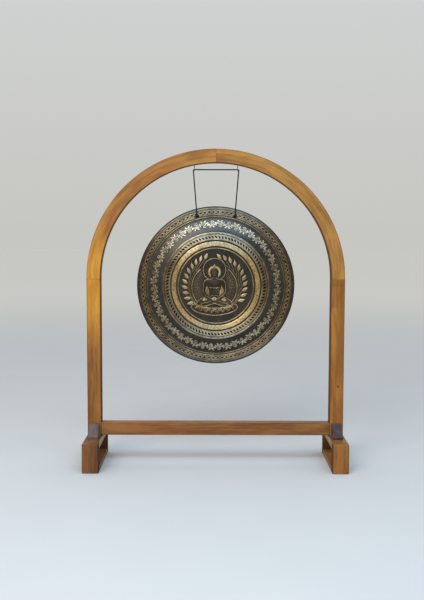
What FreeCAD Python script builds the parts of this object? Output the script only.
import FreeCAD, Part
import math
import os

import Sketcher

# A tam tam gong hung by one cord from two screw hooks under an arched wooden stand.
# Millimetres. X runs across the stand, Y from front (-) to back (+), Z up; the origin is on the floor,
# midway between the feet and under the arch.

VECTOR = FreeCAD.Vector
X_AXIS = VECTOR(1, 0, 0)
Y_AXIS = VECTOR(0, 1, 0)
Z_AXIS = VECTOR(0, 0, 1)
SIDES = (("left", -1), ("right", 1))
ENDS = (("front", -1), ("rear", 1))
ROWS = (-1, 1)

# Millimetres within which two places count as the same when edges are picked out.
SAME = 0.1
# A sketched rectangle's side and inner edge before its dimensions are applied.
ROUGH_SIDE = 40
ROUGH_INNER = 400

DIMENSIONS = {
    # Arch, posts and stretcher
    "arch_radius": 491.5,
    "springline": 715,
    "member_face": 52.5,
    "member_depth": 48,
    "member_round": 2.5,
    "stretcher_gap": 3.5,
    "stretcher_face": 48,
    "stretcher_depth": 44,
    # Feet, each a loop of two boards between two blocks
    "foot_width": 61,
    "foot_height": 110,
    "foot_length": 325,
    "foot_board": 22,
    "foot_block": 35,
    "foot_round": 2,
    # Gussets between the feet and the posts
    "gusset_width": 38,
    "gusset_height": 50,
    "gusset_reach": 59,
    "gusset_ledge": 7,
    "gusset_nose": 9,
    "gusset_sweep": 130,
    "gusset_round": 1.5,
    # Dowels, lag screws and wood screws
    "dowel_radius": 5,
    "dowel_length": 60,
    "stretcher_dowel_length": 50,
    "dowel_spread": 11,
    "foot_dowel_radius": 4,
    "foot_dowel_length": 40,
    "foot_dowel_spread": 15,
    "lag_radius": 4,
    "lag_length": 85,
    "lag_spread": 13,
    "lag_head_radius": 7.5,
    "lag_head_height": 5.5,
    "washer_radius": 10,
    "washer_thickness": 2,
    "screw_radius": 2.25,
    "screw_length": 38,
    "screw_head_radius": 4.5,
    "screw_head_height": 3,
    "screw_near": 14,
    "screw_far": 40,
    # Screw hooks under the arch; the bend under the shank turns as far back as it turns out
    "hook_spread": 81.9,
    "hook_wire": 1.5,
    "hook_bowl": 7,
    "hook_shank": 28,
    "hook_bend_angle": 60,
    "hook_bowl_angle": 270,
    # Cord over the hooks and through the gong's rim
    "cord_height": 1129,
    "cord_radius": 2,
    "cord_clearance": 0.3,
    "exit_bend": 4,
    "knot_radius": 5.5,
    "knot_gap": 0.7,
    # Gong, a thin beaten dish with a flat middle that stands forward of its rim band
    "gong_radius": 302.5,
    "gong_height": 690,
    "gong_sheet": 1.9,
    "gong_set_back": 2.6,
    "flange_depth": 51.1,
    "flange_taper": 3,
    "band_radius": 256,
    "plateau_radius": 203,
    "plateau_lift": 22,
    "rim_bend": 8,
    "band_bend": 40,
    "plateau_bend": 90,
    "hole_spread": 72,
    "hole_rise": 262,
    "hole_radius": 4,
}

# Places that several sub-parts share, as expressions on the sheet.
POST_X = "(Size.arch_radius - Size.member_face / 2)"
POST_INNER = "(Size.arch_radius - Size.member_face)"
FOOT_CEILING = "(Size.foot_height - Size.foot_board)"
STRETCHER_Z = "(Size.foot_height + Size.stretcher_gap + Size.stretcher_face / 2)"
HOOK_Z = ("(Size.cord_height - Size.cord_radius - Size.cord_clearance - Size.hook_wire"
          " + Size.hook_bowl)")
HOLE_Z = "(Size.gong_height + Size.hole_rise)"
GONG_BACK_OF_BAND = "(Size.gong_set_back + Size.gong_sheet)"
KNOT_Y = f"({GONG_BACK_OF_BAND} + Size.knot_gap + Size.knot_radius)"

doc = FreeCAD.newDocument("TamTamGong")
nodes = {}


def make_sheet():
    """The spreadsheet of driving dimensions, one aliased cell for each."""
    sheet = doc.addObject("Spreadsheet::Sheet", "Size")
    for row, (alias, number) in enumerate(DIMENSIONS.items(), 1):
        sheet.set(f"A{row}", alias)
        sheet.set(f"B{row}", str(number))
        sheet.setAlias(f"B{row}", alias)
    doc.recompute()
    return sheet


def size(alias):
    """The number in one cell of the sheet."""
    return float(doc.Size.get(alias))


def add(kind, name, **expressions):
    """A document object with properties bound to expressions."""
    item = doc.addObject(kind, name)
    for prop, expression in expressions.items():
        item.setExpression(prop, expression)
    return item


def place(item, x, y, z, rotation=None):
    """Turn a document object, then bind its position to three expressions."""
    if rotation:
        item.Placement = FreeCAD.Placement(VECTOR(), rotation)
    for axis, expression in zip("xyz", (x, y, z)):
        item.setExpression(f"Placement.Base.{axis}", expression)
    return item


def keep(label, item):
    """Label an object as a sub-part of the finished gong."""
    item.Label = label
    nodes[label] = item
    return item


def fuse(name, shapes):
    """One solid from several overlapping or touching primitives."""
    item = doc.addObject("Part::MultiFuse", name)
    item.Shapes = shapes
    return item


def group(label, members):
    """Several identical solids kept as one sub-part."""
    compound = doc.addObject("Part::Compound", label)
    compound.Links = members
    return keep(label, compound)


def bored(label, blank, fasteners):
    """The finished timber: a blank with a hole for each fastener that enters it."""
    tools = doc.addObject("Part::Compound", f"{label}_holes")
    tools.Links = fasteners
    cut = doc.addObject("Part::Cut", label)
    cut.Base = blank
    cut.Tool = tools
    return keep(label, cut)


# Sketches and the features built on them


def origin_feature(body, role):
    """One of a body's own origin planes or axes."""
    return next(item for item in body.Origin.OriginFeatures if item.Role == role)


def new_sketch(body, name, plane):
    """An empty sketch on one of the body's origin planes."""
    sketch = body.newObject("Sketcher::SketchObject", name)
    sketch.AttachmentSupport = [(origin_feature(body, plane), "")]
    sketch.MapMode = "FlatFace"
    return sketch


def dimension(sketch, name, expression, *constraint):
    """Add a dimension to a sketch, name it and bind it to an expression."""
    index = sketch.addConstraint(Sketcher.Constraint(*constraint))
    sketch.renameConstraint(index, name)
    sketch.setExpression(f"Constraints.{name}", expression)


def closed_outline(sketch, points):
    """Straight lines round the points, each joined to the next."""
    count = len(points)
    for index, point in enumerate(points):
        following = points[(index + 1) % count]
        sketch.addGeometry(Part.LineSegment(VECTOR(*point, 0), VECTOR(*following, 0)), False)
    for index in range(count):
        sketch.addConstraint(Sketcher.Constraint("Coincident", index, 2, (index + 1) % count, 1))


def rectangle(body, name, wide, tall, inner=None):
    """A rectangle on the XY plane, centred on the origin, or on the X axis from inner outwards."""
    sketch = new_sketch(body, name, "XY_Plane")
    half, outer = ROUGH_SIDE / 2, ROUGH_INNER + ROUGH_SIDE
    closed_outline(sketch, [(ROUGH_INNER, -half), (outer, -half), (outer, half), (ROUGH_INNER, half)])
    for direction, index in (("Horizontal", 0), ("Horizontal", 2), ("Vertical", 3)):
        sketch.addConstraint(Sketcher.Constraint(direction, index))
    dimension(sketch, "Wide", wide, "DistanceX", 0, 1, 0, 2, ROUGH_SIDE)
    dimension(sketch, "Tall", tall, "DistanceY", 1, 1, 1, 2, ROUGH_SIDE)
    if inner is None:
        sketch.addConstraint(Sketcher.Constraint("Vertical", 1))
        sketch.addConstraint(Sketcher.Constraint("Symmetric", 0, 1, 1, 2, -1, 1))
    else:
        sketch.addConstraint(Sketcher.Constraint("Symmetric", 1, 1, 1, 2, -1))
        dimension(sketch, "Inner", inner, "DistanceX", -1, 1, 0, 1, ROUGH_INNER)
    return sketch


def pad(body, name, profile, length, symmetric=False):
    """Pad a sketch by a length given as an expression."""
    feature = body.newObject("PartDesign::Pad", name)
    feature.Profile = profile
    feature.SideType = "Symmetric" if symmetric else "One side"
    feature.setExpression("Length", length)
    doc.recompute()
    return feature


def revolve(body, name, profile, angle):
    """Revolve a sketch about the body's Y axis, from +X towards +Z."""
    feature = body.newObject("PartDesign::Revolution", name)
    feature.Profile = profile
    feature.ReferenceAxis = (origin_feature(body, "Y_Axis"), [""])
    feature.Angle = angle
    feature.Reversed = True
    doc.recompute()
    return feature


def soften(body, name, base, wanted, radius):
    """Round the edges of a feature that a test picks out."""
    names = [f"Edge{number}" for number, edge in enumerate(base.Shape.Edges, 1) if wanted(edge)]
    feature = body.newObject("PartDesign::Fillet", name)
    feature.Base = (base, names)
    feature.setExpression("Radius", radius)
    doc.recompute()
    return feature


def runs_along(edge, axis):
    """Whether an edge is straight and parallel to an axis."""
    return isinstance(edge.Curve, Part.Line) and abs(edge.Curve.Direction.dot(axis)) > 0.999


# Fasteners


def dowel(name, radius, length, along, x, y, z):
    """A dowel with its middle at a point, along one of the axes."""
    cylinder = add("Part::Cylinder", name, Radius=radius, Height=length)
    half = f" - {length} / 2"
    if along == "x":
        return place(cylinder, x + half, y, z, FreeCAD.Rotation(Y_AXIS, 90))
    if along == "y":
        return place(cylinder, x, y + half, z, FreeCAD.Rotation(X_AXIS, -90))
    return place(cylinder, x, y, z + half)


def make_dowels():
    """Plain wooden dowels in every glued joint of the stand."""
    radius, length, spread = "Size.dowel_radius", "Size.dowel_length", "Size.dowel_spread"
    crown = f"Size.springline + {POST_X}"
    group("crown_dowels", [
        dowel(f"crown_dowel_{row}", radius, length, "x", "0", f"{row} * {spread}", crown)
        for row in ROWS
    ])
    group("springline_dowels", [
        dowel(f"springline_dowel_{side}_{row}", radius, length, "z",
              f"{sign} * {POST_X}", f"{row} * {spread}", "Size.springline")
        for side, sign in SIDES for row in ROWS
    ])
    group("stretcher_dowels", [
        dowel(f"stretcher_dowel_{side}_{row}", radius, "Size.stretcher_dowel_length", "x",
              f"{sign} * {POST_INNER}", "0", f"{STRETCHER_Z} + {row} * {spread}")
        for side, sign in SIDES for row in ROWS
    ])
    joint = "(Size.foot_length / 2 - Size.foot_block)"
    levels = (("low", "Size.foot_board / 2"), ("high", "Size.foot_height - Size.foot_board / 2"))
    for side, sign in SIDES:
        group(f"foot_dowels_{side}", [
            dowel(f"foot_dowel_{side}_{end}_{level}_{row}", "Size.foot_dowel_radius",
                  "Size.foot_dowel_length", "y",
                  f"{sign} * {POST_X} + {row} * Size.foot_dowel_spread", f"{facing} * {joint}", z)
            for end, facing in ENDS for level, z in levels for row in ROWS
        ])


def make_lag_screws():
    """Two hexagon-headed lag screws and washers under each post, put in from the foot's window."""
    seat = f"{FOOT_CEILING} - Size.washer_thickness"
    screws = []
    washers = []
    for side, sign in SIDES:
        for row in ROWS:
            name = f"{side}_{row}"
            x, y = f"{sign} * {POST_X}", f"{row} * Size.lag_spread"
            head = add("Part::Prism", f"lag_head_{name}",
                       Circumradius="Size.lag_head_radius", Height="Size.lag_head_height")
            head.Polygon = 6
            place(head, x, y, f"{seat} - Size.lag_head_height")
            shank = add("Part::Cylinder", f"lag_shank_{name}",
                        Radius="Size.lag_radius", Height="Size.lag_length")
            place(shank, x, y, seat)
            tip = add("Part::Cone", f"lag_tip_{name}", Radius1="Size.lag_radius",
                      Radius2="Size.lag_radius / 8", Height="Size.lag_radius")
            place(tip, x, y, f"{seat} + Size.lag_length")
            screw = fuse(f"lag_screw_{name}", [head, shank, tip])
            screws.append(screw)
            disc = add("Part::Cylinder", f"washer_disc_{name}",
                       Radius="Size.washer_radius", Height="Size.washer_thickness")
            place(disc, x, y, seat)
            washer = doc.addObject("Part::Cut", f"washer_{name}")
            washer.Base = disc
            washer.Tool = screw
            washers.append(washer)
    group("lag_screws", screws)
    group("lag_washers", washers)


def make_gusset_screws():
    """Two countersunk wood screws up into each gusset, their heads flush with the foot's ceiling."""
    for side, sign in SIDES:
        screws = []
        for end, facing in ENDS:
            for step in ("screw_near", "screw_far"):
                name = f"gusset_{step}_{side}_{end}"
                x, y = f"{sign} * {POST_X}", f"{facing} * (Size.member_depth / 2 + Size.{step})"
                head = add("Part::Cone", f"{name}_head", Radius1="Size.screw_head_radius",
                           Radius2="Size.screw_radius", Height="Size.screw_head_height")
                place(head, x, y, FOOT_CEILING)
                shank = add("Part::Cylinder", f"{name}_shank", Radius="Size.screw_radius",
                            Height="Size.screw_length - Size.screw_head_height")
                place(shank, x, y, f"{FOOT_CEILING} + Size.screw_head_height")
                screws.append(fuse(name, [head, shank]))
        group(f"gusset_screws_{side}", screws)


def make_hooks():
    """A wire hook on each side: a shank up into the arch, a bend, and an open bowl under the shank."""
    # A ring's own X and Y axes lie along Y and Z here, so that it stands across the cord.
    upright = FreeCAD.Rotation(Y_AXIS, Z_AXIS, X_AXIS, "ZXY")
    bend_angle, bowl_angle = size("hook_bend_angle"), size("hook_bowl_angle")
    start = "(Size.hook_bend_angle - Size.hook_bowl_angle)"
    shank_foot = f"{HOOK_Z} + 2 * Size.hook_bowl * sin(Size.hook_bend_angle)"
    ring_sizes = {"Radius1": "Size.hook_bowl", "Radius2": "Size.hook_wire"}
    for side, sign in SIDES:
        x = f"{sign} * Size.hook_spread"
        bend = add("Part::Torus", f"hook_bend_{side}", Angle3="Size.hook_bend_angle", **ring_sizes)
        place(bend, x, "2 * Size.hook_bowl * cos(Size.hook_bend_angle)", shank_foot,
              upright.multiply(FreeCAD.Rotation(Z_AXIS, 180)))
        bowl = add("Part::Torus", f"hook_ring_{side}", Angle3="Size.hook_bowl_angle", **ring_sizes)
        place(bowl, x, "0", HOOK_Z,
              upright.multiply(FreeCAD.Rotation(Z_AXIS, bend_angle - bowl_angle)))
        shank = add("Part::Cylinder", f"hook_shank_{side}",
                    Radius="Size.hook_wire", Height="Size.hook_shank")
        place(shank, x, "0", shank_foot)
        tip = add("Part::Sphere", f"hook_tip_{side}", Radius="Size.hook_wire")
        place(tip, x, f"Size.hook_bowl * cos{start}", f"{HOOK_Z} + Size.hook_bowl * sin{start}")
        keep(f"hook_{side}", fuse(f"hook_{side}", [shank, bend, bowl, tip]))


# Timber


def timber(name, wide, deep, tall, rounded, radius):
    """A squared timber standing on the XY plane, with the edges that a test picks out rounded."""
    body = doc.addObject("PartDesign::Body", f"{name}_blank")
    blank = pad(body, f"{name}_length", rectangle(body, f"{name}_section", wide, deep), tall)
    soften(body, f"{name}_edges", blank, rounded, radius)
    return body


def make_arch():
    """Two quarter rings that butt at the crown."""
    for side, turn in (("right", 0), ("left", -90)):
        body = doc.addObject("PartDesign::Body", f"arch_{side}_blank")
        section = rectangle(body, f"arch_{side}_section", "Size.member_face", "Size.member_depth",
                            POST_INNER)
        sweep = revolve(body, f"arch_{side}_sweep", section, 90)
        soften(body, f"arch_{side}_edges", sweep, lambda edge: isinstance(edge.Curve, Part.Circle),
               "Size.member_round")
        place(body, "0", "0", "Size.springline", FreeCAD.Rotation(Y_AXIS, turn))
        bored(f"arch_{side}", body,
              [nodes["crown_dowels"], nodes["springline_dowels"], nodes[f"hook_{side}"]])


def make_posts():
    """Straight posts from the feet up to the springline."""
    for side, sign in SIDES:
        body = timber(f"post_{side}", "Size.member_face", "Size.member_depth",
                      "Size.springline - Size.foot_height",
                      lambda edge: runs_along(edge, Z_AXIS), "Size.member_round")
        place(body, f"{sign} * {POST_X}", "0", "Size.foot_height")
        bored(f"post_{side}", body,
              [nodes["springline_dowels"], nodes["stretcher_dowels"], nodes["lag_screws"]])


def make_stretcher():
    """The rail between the posts, just clear of the feet."""
    body = timber("stretcher", "Size.stretcher_face", "Size.stretcher_depth", f"2 * {POST_INNER}",
                  lambda edge: runs_along(edge, Z_AXIS), "Size.member_round")
    place(body, f"-{POST_INNER}", "0", STRETCHER_Z, FreeCAD.Rotation(Y_AXIS, 90))
    bored("stretcher", body, [nodes["stretcher_dowels"]])


def make_foot_board(side, sign, level, base):
    """The top or bottom board of a foot, rounded along the two edges of its outer face."""
    half = size("foot_board") / 2
    top = level == "top"
    name = f"foot_{side}_{level}_board"
    body = timber(name, "Size.foot_width", "Size.foot_length - 2 * Size.foot_block", "Size.foot_board",
                  lambda edge: runs_along(edge, Y_AXIS) and (edge.CenterOfMass.z > half) == top,
                  "Size.foot_round")
    place(body, f"{sign} * {POST_X}", "0", base)
    entering = [nodes[f"foot_dowels_{side}"]]
    if top:
        entering += [nodes["lag_screws"], nodes[f"gusset_screws_{side}"]]
    bored(name, body, entering)


def make_foot_block(side, sign, end, facing):
    """The front or rear block of a foot, rounded on all edges but those of its joint face."""
    half = size("foot_block") / 2
    name = f"foot_{side}_{end}_block"
    body = timber(name, "Size.foot_width", "Size.foot_block", "Size.foot_height",
                  lambda edge: edge.CenterOfMass.y * facing > -half + SAME, "Size.foot_round")
    place(body, f"{sign} * {POST_X}", f"{facing} * (Size.foot_length - Size.foot_block) / 2", "0")
    bored(name, body, [nodes[f"foot_dowels_{side}"]])


def make_feet():
    """Each foot: a bottom and a top board between a front and a rear block, round an open window."""
    for side, sign in SIDES:
        make_foot_board(side, sign, "bottom", "0")
        make_foot_board(side, sign, "top", FOOT_CEILING)
        for end, facing in ENDS:
            make_foot_block(side, sign, end, facing)


def arc_between(start, end, radius):
    """An arc that runs counter-clockwise from start to end."""
    chord = end - start
    middle = (start + end) * 0.5
    left = VECTOR(-chord.y, chord.x, 0).normalize()
    centre = middle + left * math.sqrt(radius ** 2 - (chord.Length / 2) ** 2)
    angles = [math.atan2(point.y - centre.y, point.x - centre.x) for point in (start, end)]
    return Part.ArcOfCircle(Part.Circle(centre, Z_AXIS, radius), *angles)


def gusset_outline(body, name):
    """The gusset's side view: an upright nose, an ogee ramp and a ledge at the post."""
    sketch = new_sketch(body, name, "YZ_Plane")
    reach, height = size("gusset_reach"), size("gusset_height")
    ledge, nose, sweep = size("gusset_ledge"), size("gusset_nose"), size("gusset_sweep")
    heel, toe, ramp_low = VECTOR(0, 0, 0), VECTOR(reach, 0, 0), VECTOR(reach, nose, 0)
    ramp_high, ledge_back = VECTOR(ledge, height, 0), VECTOR(0, height, 0)
    middle = (ramp_low + ramp_high) * 0.5
    sketch.addGeometry([
        Part.LineSegment(heel, toe),
        Part.LineSegment(toe, ramp_low),
        arc_between(ramp_low, middle, sweep),
        arc_between(ramp_high, middle, sweep),
        Part.LineSegment(ramp_high, ledge_back),
        Part.LineSegment(ledge_back, heel),
    ], False)
    for constraint in (
        ("Coincident", 0, 1, -1, 1), ("Coincident", 0, 2, 1, 1), ("Coincident", 1, 2, 2, 1),
        ("Coincident", 3, 1, 4, 1), ("Coincident", 4, 2, 5, 1), ("Coincident", 5, 2, 0, 1),
        ("Horizontal", 0), ("Vertical", 1), ("Horizontal", 4), ("Vertical", 5),
    ):
        sketch.addConstraint(Sketcher.Constraint(*constraint))
    dimension(sketch, "Reach", "Size.gusset_reach", "DistanceX", 0, 1, 0, 2, reach)
    dimension(sketch, "Nose", "Size.gusset_nose", "DistanceY", 1, 1, 1, 2, nose)
    dimension(sketch, "Ledge", "Size.gusset_ledge", "DistanceX", 4, 2, 4, 1, ledge)
    dimension(sketch, "Height", "Size.gusset_height", "DistanceY", 5, 2, 5, 1, height)
    dimension(sketch, "Sweep", "Size.gusset_sweep", "Radius", 2, sweep)
    sketch.addConstraint(Sketcher.Constraint("Tangent", 2, 2, 3, 2))
    sketch.addConstraint(Sketcher.Constraint("Symmetric", 2, 1, 3, 1, 2, 2))
    return sketch


def make_gussets():
    """Ogee blocks that brace each post on its foot, in front and behind."""
    half, reach, ledge = size("gusset_width") / 2, size("gusset_reach"), size("gusset_ledge")

    def shows(edge):
        """The edges on the two sides, and those across the nose and the ledge."""
        middle = edge.CenterOfMass
        beside = abs(abs(middle.x) - half) < SAME
        across = abs(middle.y - reach) < SAME or abs(middle.y - ledge) < SAME
        return middle.y > SAME and middle.z > SAME and (beside or across)

    for side, sign in SIDES:
        for end, facing in ENDS:
            name = f"gusset_{side}_{end}"
            body = doc.addObject("PartDesign::Body", f"{name}_blank")
            blank = pad(body, f"{name}_width", gusset_outline(body, f"{name}_profile"),
                        "Size.gusset_width", symmetric=True)
            soften(body, f"{name}_edges", blank, shows, "Size.gusset_round")
            place(body, f"{sign} * {POST_X}", f"{facing} * Size.member_depth / 2", "Size.foot_height",
                  FreeCAD.Rotation(Z_AXIS, 90 - 90 * facing))
            bored(name, body, [nodes[f"gusset_screws_{side}"]])


# Gong


def gong_section(body):
    """Half the gong's outline as a solid disc, radius along X and depth along Y."""
    sketch = new_sketch(body, "gong_section", "XY_Plane")
    rim, band, plateau = size("gong_radius"), size("band_radius"), size("plateau_radius")
    step, lift, deep = size("gong_set_back"), size("plateau_lift"), size("flange_depth")
    flange, rear, front = rim - size("flange_taper"), step + deep, step - lift
    closed_outline(sketch, [(0, rear), (flange, rear), (rim, step), (band, step),
                            (plateau, front), (0, front)])
    for constraint in (
        ("Horizontal", 0), ("Horizontal", 2), ("Horizontal", 4),
        ("PointOnObject", 0, 1, -2), ("PointOnObject", 5, 1, -2),
    ):
        sketch.addConstraint(Sketcher.Constraint(*constraint))
    dimension(sketch, "FlangeRadius", "Size.gong_radius - Size.flange_taper",
              "DistanceX", 0, 1, 0, 2, flange)
    dimension(sketch, "RimRadius", "Size.gong_radius", "DistanceX", -1, 1, 2, 1, rim)
    dimension(sketch, "BandRadius", "Size.band_radius", "DistanceX", -1, 1, 2, 2, band)
    dimension(sketch, "PlateauRadius", "Size.plateau_radius", "DistanceX", -1, 1, 4, 1, plateau)
    dimension(sketch, "SetBack", "Size.gong_set_back", "DistanceY", -1, 1, 2, 1, step)
    dimension(sketch, "Lift", "Size.plateau_lift", "DistanceY", 4, 1, 2, 2, lift)
    dimension(sketch, "FlangeDepth", "Size.flange_depth", "DistanceY", 2, 1, 0, 2, deep)
    return sketch


def ring_at(radius):
    """A test for the round edges of about a given radius."""
    return lambda edge: isinstance(edge.Curve, Part.Circle) and abs(edge.Curve.Radius - radius) < SAME


def make_gong():
    """The gong: a revolved disc with its bends rounded, shelled from behind and drilled for the cord."""
    body = doc.addObject("PartDesign::Body", "gong_body")
    disc = revolve(body, "gong_disc", gong_section(body), 360)
    rim = soften(body, "gong_rim_bend", disc, ring_at(size("gong_radius")), "Size.rim_bend")
    band = soften(body, "gong_band_bend", rim, ring_at(size("band_radius")), "Size.band_bend")
    plateau = soften(body, "gong_plateau_bend", band, ring_at(size("plateau_radius")),
                     "Size.plateau_bend")
    back = max(range(len(plateau.Shape.Faces)), key=lambda n: plateau.Shape.Faces[n].CenterOfMass.y)
    shell = body.newObject("PartDesign::Thickness", "gong_shell")
    shell.Base = (plateau, [f"Face{back + 1}"])
    shell.Join = "Intersection"
    shell.Reversed = True
    shell.setExpression("Value", "Size.gong_sheet")
    doc.recompute()
    before = shell.Shape.Volume
    sketch = new_sketch(body, "gong_hole_centres", "XZ_Plane")
    spread, rise, bore = size("hole_spread"), size("hole_rise"), size("hole_radius")
    for index, sign in enumerate(ROWS):
        sketch.addGeometry(Part.Circle(VECTOR(sign * spread, rise, 0), Z_AXIS, bore), False)
        ends = (-1, 1, index, 3) if sign > 0 else (index, 3, -1, 1)
        dimension(sketch, f"Spread{index}", "Size.hole_spread", "DistanceX", *ends, spread)
        dimension(sketch, f"Rise{index}", "Size.hole_rise", "DistanceY", -1, 1, index, 3, rise)
        dimension(sketch, f"Radius{index}", "Size.hole_radius", "Radius", index, bore)
    holes = body.newObject("PartDesign::Pocket", "gong_holes")
    holes.Profile = sketch
    holes.Type = "ThroughAll"
    holes.SideType = "Symmetric"
    doc.recompute()
    drilled = 2 * math.pi * bore ** 2 * size("gong_sheet")
    if abs(before - holes.Shape.Volume - drilled) > 0.05 * drilled:
        raise ValueError("the gong's cord holes don't go through its rim band")
    place(body, "0", "0", "Size.gong_height")
    keep("gong", body)


# Cord


def exact(expression):
    """The number that an expression on the sheet comes to."""
    return float(doc.Size.evalExpression(expression))


def rounded_path(points, radii):
    """Straight runs through the points, with a tangent arc of its own radius at each inner point."""
    edges = []
    start = points[0]
    for before, corner, after, radius in zip(points, points[1:], points[2:], radii):
        back = (before - corner).normalize()
        ahead = (after - corner).normalize()
        opening = back.getAngle(ahead)
        reach = radius / math.tan(opening / 2)
        middle_way = (back + ahead).normalize()
        crest = corner + middle_way * (radius / math.sin(opening / 2) - radius)
        enter, leave = corner + back * reach, corner + ahead * reach
        edges.append(Part.LineSegment(start, enter).toShape())
        edges.append(Part.Arc(enter, crest, leave).toShape())
        start = leave
        print(f"cord bend: radius {radius:.2f} mm, turn {180 - math.degrees(opening):.1f} degrees")
    edges.append(Part.LineSegment(start, points[-1]).toShape())
    return Part.Wire(edges)


def make_cord():
    """One cord: through the gong's left hole, over both hooks, and back through the right hole."""
    radius = size("cord_radius")
    wrap = radius + size("cord_clearance") + size("hook_wire")
    hole = VECTOR(size("hole_spread"), 0, exact(HOLE_Z))
    top = size("cord_height")
    knot_face = exact(KNOT_Y) - math.sqrt(size("knot_radius") ** 2 - radius ** 2)
    # The leg is tangent to the wrap round the hook's wire and ends at the hole.
    centre = VECTOR(size("hook_spread"), 0, top - wrap)
    away = centre - hole
    lean = math.atan2(away.x, away.z) + math.asin(wrap / away.Length)
    corner = hole + VECTOR(math.tan(lean) * (top - hole.z), 0, top - hole.z)
    right = [corner, hole, hole + VECTOR(0, knot_face, 0)]
    left = [VECTOR(-point.x, point.y, point.z) for point in reversed(right)]
    bend = size("exit_bend")
    path = rounded_path(left + right, [bend, wrap, wrap, bend])
    profile = Part.Wire(Part.Circle(left[0], Y_AXIS, radius).toShape())
    tube = path.makePipeShell([profile], True, False)
    drawn = math.pi * radius ** 2 * path.Length
    print(f"cord: length {path.Length:.1f} mm, volume {tube.Volume:.1f} of {drawn:.1f} mm3")
    if abs(tube.Volume / drawn - 1) > 0.01:
        raise ValueError("the cord's volume is not its section times its length")
    cord = doc.addObject("Part::Feature", "cord")
    cord.Shape = tube
    keep("cord", cord)


def make_knots():
    """A stopper knot on each end of the cord, behind the gong's rim band, flat where the cord enters."""
    knots = []
    for side, sign in SIDES:
        knot = add("Part::Sphere", f"knot_{side}", Radius="Size.knot_radius",
                   Angle1="-acos(Size.cord_radius / Size.knot_radius)")
        place(knot, f"{sign} * Size.hole_spread", KNOT_Y, HOLE_Z, FreeCAD.Rotation(X_AXIS, -90))
        knots.append(knot)
    group("cord_knots", knots)


# Checks and files


def check_document():
    """Stop if any object of the document failed to compute."""
    for item in doc.Objects:
        if "Invalid" in item.State or "Error" in item.State:
            raise ValueError(f"{item.Name} failed: {item.State}")


def write_nodes():
    """Check each sub-part's shape and write it to its own file."""
    os.makedirs("parts", exist_ok=True)
    for label, item in sorted(nodes.items()):
        shape = item.Shape
        if shape.isNull() or not shape.isValid():
            raise ValueError(f"{label} has no valid shape")
        shape.exportStep(f"parts/{label}.step")
        box = shape.BoundBox
        print(f"{label}: {len(shape.Solids)} solid(s), {shape.Volume / 1000:.1f} cm3,"
              f" {box.XLength:.1f} x {box.YLength:.1f} x {box.ZLength:.1f} mm")


make_sheet()
make_dowels()
make_lag_screws()
make_gusset_screws()
make_hooks()
make_arch()
make_posts()
make_stretcher()
make_feet()
make_gussets()
make_gong()
make_cord()
make_knots()
doc.recompute()
check_document()
write_nodes()
balance = nodes["gong"].Shape.Solids[0].CenterOfMass
print(f"gong centre of mass: {balance.x:.3f}, {balance.y:.3f}, {balance.z:.3f}")
